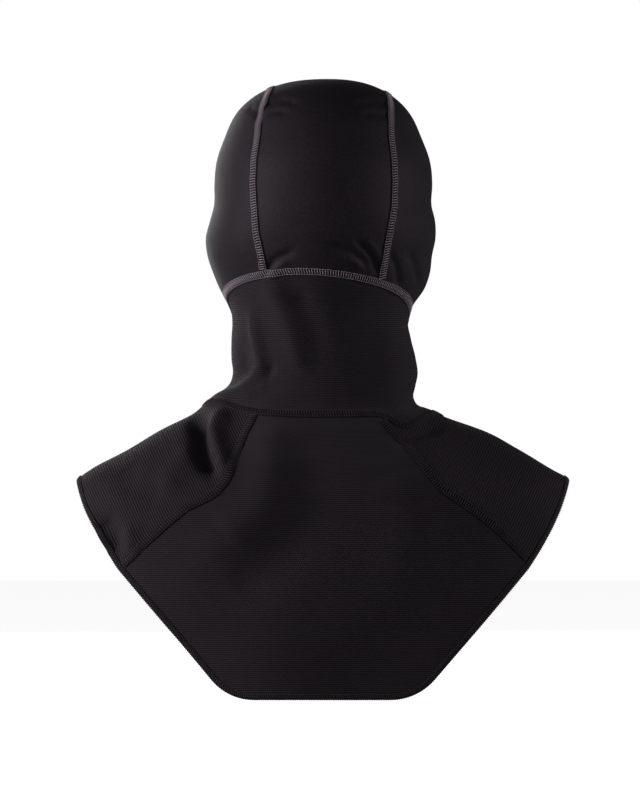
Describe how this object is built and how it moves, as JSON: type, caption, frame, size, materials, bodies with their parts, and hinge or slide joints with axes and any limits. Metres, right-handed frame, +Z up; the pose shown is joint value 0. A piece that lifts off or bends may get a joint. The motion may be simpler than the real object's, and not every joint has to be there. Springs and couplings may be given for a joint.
{
  "type": "smoke hood",
  "caption": "Firefighter's knitted particle-blocking hood in worn shape: close-fitting crown with face opening, neck tube and rounded shoulder cape, in sewn panels.",
  "frame": {"origin": "inside of the lining at the top of the crown, where the hood rests on the wearer's head", "axes": "+Z up, the face opening is on the -Y side and the back of the hood faces +Y; the wearer's left is +X seen from behind as image left"},
  "size_m": [0.3936, 0.2206, 0.494],
  "materials": {
    "charcoal_knit": "matt fine rib knit",
    "lining_knit": "matt fine rib knit",
    "barrier_layer": "thin nonwoven membrane",
    "grey_thread": "matt spun thread",
    "black_thread": "matt spun thread",
    "binding_knit": "matt fine knit",
    "elastic": "woven elastic",
    "label_tape": "woven label tape, blank"
  },
  "bodies": {
    "root": {"back_bib_lining": "lining_knit", "back_bib_panel": "charcoal_knit", "back_left_shoulder_seam": "black_thread", "back_right_shoulder_seam": "black_thread", "care_label": "label_tape", "chin_seam": "black_thread", "crown_centre_barrier": "barrier_layer", "crown_centre_lining": "lining_knit", "crown_centre_panel": "charcoal_knit", "crown_left_barrier": "barrier_layer", "crown_left_lining": "lining_knit", "crown_left_panel": "charcoal_knit", "crown_left_seam": "grey_thread", "crown_right_barrier": "barrier_layer", "crown_right_lining": "lining_knit", "crown_right_panel": "charcoal_knit", "crown_right_seam": "grey_thread", "face_binding": "binding_knit", "face_elastic": "elastic", "front_bib_lining": "lining_knit", "front_bib_panel": "charcoal_knit", "front_left_shoulder_seam": "black_thread", "front_right_shoulder_seam": "black_thread", "hem_overlock": "black_thread", "left_shoulder_lining": "lining_knit", "left_shoulder_panel": "charcoal_knit", "nape_seam": "grey_thread", "neck_barrier": "barrier_layer", "neck_base_seam": "black_thread", "neck_front_seam": "black_thread", "neck_lining": "lining_knit", "neck_panel": "charcoal_knit", "right_shoulder_lining": "lining_knit", "right_shoulder_panel": "charcoal_knit"}
  },
  "joints": []
}
